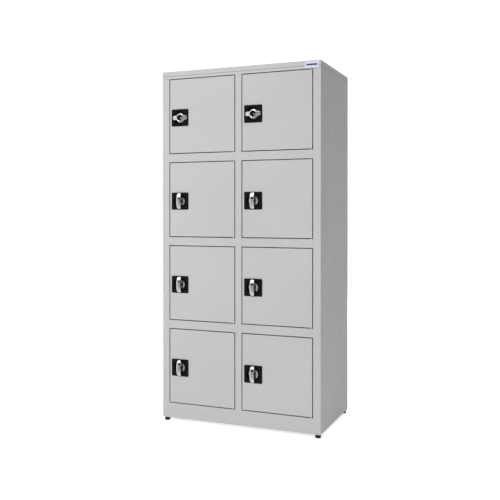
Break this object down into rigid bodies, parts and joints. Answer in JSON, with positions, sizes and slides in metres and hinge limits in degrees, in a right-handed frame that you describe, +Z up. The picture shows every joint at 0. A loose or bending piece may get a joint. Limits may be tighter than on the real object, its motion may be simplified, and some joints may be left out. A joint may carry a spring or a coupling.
{
  "type": "coin operated locker",
  "caption": "Free-standing sheet steel locker in two columns, each door on concealed pins with a black dished coin lock and a chrome wing handle.",
  "frame": {"origin": "on the floor under the middle of the overall box, handles and rivet heads included", "axes": "+X to the right seen from the front, +Y from the doors to the back, +Z up"},
  "size_m": [0.85, 0.5262, 1.8],
  "materials": {
    "frame_paint": "satin powder coat, warm light grey",
    "door_paint": "satin powder coat, cool light grey",
    "lock_plastic": "fine-textured black",
    "zinc_steel": "zinc plated",
    "chrome": "satin chrome",
    "badge": "gloss white with a plain blue bar",
    "foot_plastic": "black moulded"
  },
  "bodies": {
    "cabinet": {"side_panel_left": "frame_paint", "side_panel_right": "frame_paint", "back_panel": "frame_paint", "top_cover": "frame_paint", "floor_pan": "frame_paint", "centre_partition": "frame_paint", "hinge_pins": "zinc_steel", "latch_keepers": "zinc_steel", "rivets": "zinc_steel", "label_plate": "badge", "shelf_1": "frame_paint", "shelf_2": "frame_paint", "shelf_3": "frame_paint", "shelf_4": "frame_paint", "shelf_5": "frame_paint", "shelf_6": "frame_paint"},
    "door_1": {"door_1": "door_paint", "lock_plate_1": "lock_plastic", "lock_case_1": "zinc_steel"},
    "door_2": {"door_2": "door_paint", "lock_plate_2": "lock_plastic", "lock_case_2": "zinc_steel"},
    "door_3": {"door_3": "door_paint", "lock_plate_3": "lock_plastic", "lock_case_3": "zinc_steel"},
    "door_4": {"door_4": "door_paint", "lock_plate_4": "lock_plastic", "lock_case_4": "zinc_steel"},
    "door_5": {"door_5": "door_paint", "lock_plate_5": "lock_plastic", "lock_case_5": "zinc_steel"},
    "door_6": {"door_6": "door_paint", "lock_plate_6": "lock_plastic", "lock_case_6": "zinc_steel"},
    "door_7": {"door_7": "door_paint", "lock_plate_7": "lock_plastic", "lock_case_7": "zinc_steel"},
    "door_8": {"door_8": "door_paint", "lock_plate_8": "lock_plastic", "lock_case_8": "zinc_steel"},
    "handle_1": {"handle_1": "chrome", "cam_1": "zinc_steel"},
    "handle_2": {"handle_2": "chrome", "cam_2": "zinc_steel"},
    "handle_3": {"handle_3": "chrome", "cam_3": "zinc_steel"},
    "handle_4": {"handle_4": "chrome", "cam_4": "zinc_steel"},
    "handle_5": {"handle_5": "chrome", "cam_5": "zinc_steel"},
    "handle_6": {"handle_6": "chrome", "cam_6": "zinc_steel"},
    "handle_7": {"handle_7": "chrome", "cam_7": "zinc_steel"},
    "handle_8": {"handle_8": "chrome", "cam_8": "zinc_steel"},
    "foot_front_left": {"foot_front_left": "foot_plastic"},
    "foot_front_right": {"foot_front_right": "foot_plastic"},
    "foot_rear_left": {"foot_rear_left": "foot_plastic"},
    "foot_rear_right": {"foot_rear_right": "foot_plastic"}
  },
  "joints": [
    {"name": "door_1_hinge", "type": "hinge", "parent": "cabinet", "child": "door_1", "pos_m": [-0.0285, -0.2321, 1.56925], "axis": [0, 0, 1], "range_deg": [0, 110]},
    {"name": "door_2_hinge", "type": "hinge", "parent": "cabinet", "child": "door_2", "pos_m": [0.3755, -0.2321, 1.56925], "axis": [0, 0, 1], "range_deg": [0, 110]},
    {"name": "door_3_hinge", "type": "hinge", "parent": "cabinet", "child": "door_3", "pos_m": [-0.0285, -0.2321, 1.14175], "axis": [0, 0, 1], "range_deg": [0, 110]},
    {"name": "door_4_hinge", "type": "hinge", "parent": "cabinet", "child": "door_4", "pos_m": [0.3755, -0.2321, 1.14175], "axis": [0, 0, 1], "range_deg": [0, 110]},
    {"name": "door_5_hinge", "type": "hinge", "parent": "cabinet", "child": "door_5", "pos_m": [-0.0285, -0.2321, 0.71425], "axis": [0, 0, 1], "range_deg": [0, 110]},
    {"name": "door_6_hinge", "type": "hinge", "parent": "cabinet", "child": "door_6", "pos_m": [0.3755, -0.2321, 0.71425], "axis": [0, 0, 1], "range_deg": [0, 110]},
    {"name": "door_7_hinge", "type": "hinge", "parent": "cabinet", "child": "door_7", "pos_m": [-0.0285, -0.2321, 0.28675], "axis": [0, 0, 1], "range_deg": [0, 110]},
    {"name": "door_8_hinge", "type": "hinge", "parent": "cabinet", "child": "door_8", "pos_m": [0.3755, -0.2321, 0.28675], "axis": [0, 0, 1], "range_deg": [0, 110]},
    {"name": "handle_1_turn", "type": "hinge", "parent": "door_1", "child": "handle_1", "pos_m": [-0.3245, -0.2381, 1.56125], "axis": [0, 1, 0], "range_deg": [0, 180]},
    {"name": "handle_2_turn", "type": "hinge", "parent": "door_2", "child": "handle_2", "pos_m": [0.0795, -0.2381, 1.56125], "axis": [0, 1, 0], "range_deg": [0, 180]},
    {"name": "handle_3_turn", "type": "hinge", "parent": "door_3", "child": "handle_3", "pos_m": [-0.3245, -0.2381, 1.13375], "axis": [0, 1, 0], "range_deg": [-90, 90]},
    {"name": "handle_4_turn", "type": "hinge", "parent": "door_4", "child": "handle_4", "pos_m": [0.0795, -0.2381, 1.13375], "axis": [0, 1, 0], "range_deg": [-90, 90]},
    {"name": "handle_5_turn", "type": "hinge", "parent": "door_5", "child": "handle_5", "pos_m": [-0.3245, -0.2381, 0.70625], "axis": [0, 1, 0], "range_deg": [-90, 90]},
    {"name": "handle_6_turn", "type": "hinge", "parent": "door_6", "child": "handle_6", "pos_m": [0.0795, -0.2381, 0.70625], "axis": [0, 1, 0], "range_deg": [-90, 90]},
    {"name": "handle_7_turn", "type": "hinge", "parent": "door_7", "child": "handle_7", "pos_m": [-0.3245, -0.2381, 0.27875], "axis": [0, 1, 0], "range_deg": [-90, 90]},
    {"name": "handle_8_turn", "type": "hinge", "parent": "door_8", "child": "handle_8", "pos_m": [0.0795, -0.2381, 0.27875], "axis": [0, 1, 0], "range_deg": [-90, 90]},
    {"name": "foot_front_left_height", "type": "slide", "parent": "cabinet", "child": "foot_front_left", "axis": [0, 0, -1], "range_m": [0, 0.012]},
    {"name": "foot_front_right_height", "type": "slide", "parent": "cabinet", "child": "foot_front_right", "axis": [0, 0, -1], "range_m": [0, 0.012]},
    {"name": "foot_rear_left_height", "type": "slide", "parent": "cabinet", "child": "foot_rear_left", "axis": [0, 0, -1], "range_m": [0, 0.012]},
    {"name": "foot_rear_right_height", "type": "slide", "parent": "cabinet", "child": "foot_rear_right", "axis": [0, 0, -1], "range_m": [0, 0.012]}
  ]
}
